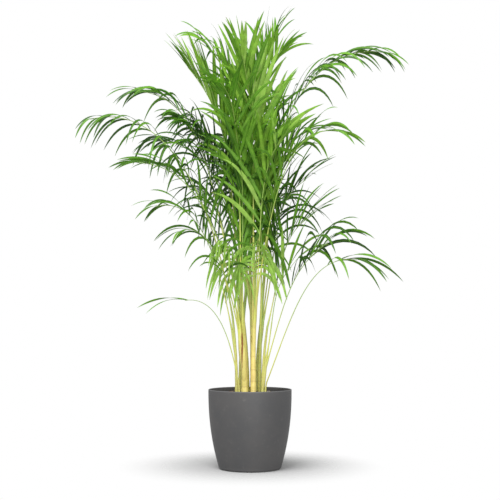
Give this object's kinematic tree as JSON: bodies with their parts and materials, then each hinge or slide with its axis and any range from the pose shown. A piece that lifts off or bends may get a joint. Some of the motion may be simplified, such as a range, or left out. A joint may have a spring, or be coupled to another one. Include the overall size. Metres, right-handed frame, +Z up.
{
  "type": "potted palm",
  "caption": "Clump-forming feather palm with yellow canes and arching fronds, standing in a round matte plastic pot.",
  "frame": {"origin": "centre of the pot's flat underside", "axes": "+Z up, -Y towards the front, +X to the right when seen from the front"},
  "size_m": [1.0131, 0.7551, 1.404],
  "materials": {
    "pot_plastic": "matte anthracite, fine moulded grain",
    "potting_soil": "loose dark bark and peat",
    "cane_skin": "smooth, yellow below and green above, ringed",
    "frond_leaf": "satin green leaf with parallel veins"
  },
  "bodies": {
    "root": {"pot": "pot_plastic", "soil": "potting_soil", "cane_01": "cane_skin", "cane_02": "cane_skin", "cane_03": "cane_skin", "cane_04": "cane_skin", "cane_05": "cane_skin", "cane_06": "cane_skin", "cane_07": "cane_skin", "cane_08": "cane_skin", "cane_09": "cane_skin", "shoot_left": "cane_skin", "shoot_right": "cane_skin", "frond_left_01": "frond_leaf", "frond_left_02": "frond_leaf", "frond_left_03": "frond_leaf", "frond_left_04": "frond_leaf", "frond_left_05": "frond_leaf", "frond_left_06": "frond_leaf", "frond_left_07": "frond_leaf", "frond_right_01": "frond_leaf", "frond_right_02": "frond_leaf", "frond_right_03": "frond_leaf", "frond_right_04": "frond_leaf", "frond_right_05": "frond_leaf", "frond_right_06": "frond_leaf", "frond_right_07": "frond_leaf", "frond_right_08": "frond_leaf", "frond_top_01": "frond_leaf", "frond_top_02": "frond_leaf", "frond_top_03": "frond_leaf", "frond_top_04": "frond_leaf", "frond_top_05": "frond_leaf", "frond_front_01": "frond_leaf", "frond_front_02": "frond_leaf", "frond_front_03": "frond_leaf", "frond_front_04": "frond_leaf", "frond_front_05": "frond_leaf", "frond_front_06": "frond_leaf", "frond_back_01": "frond_leaf", "frond_back_02": "frond_leaf", "frond_back_03": "frond_leaf", "frond_back_04": "frond_leaf", "frond_back_05": "frond_leaf", "frond_back_06": "frond_leaf", "frond_back_07": "frond_leaf"}
  },
  "joints": []
}
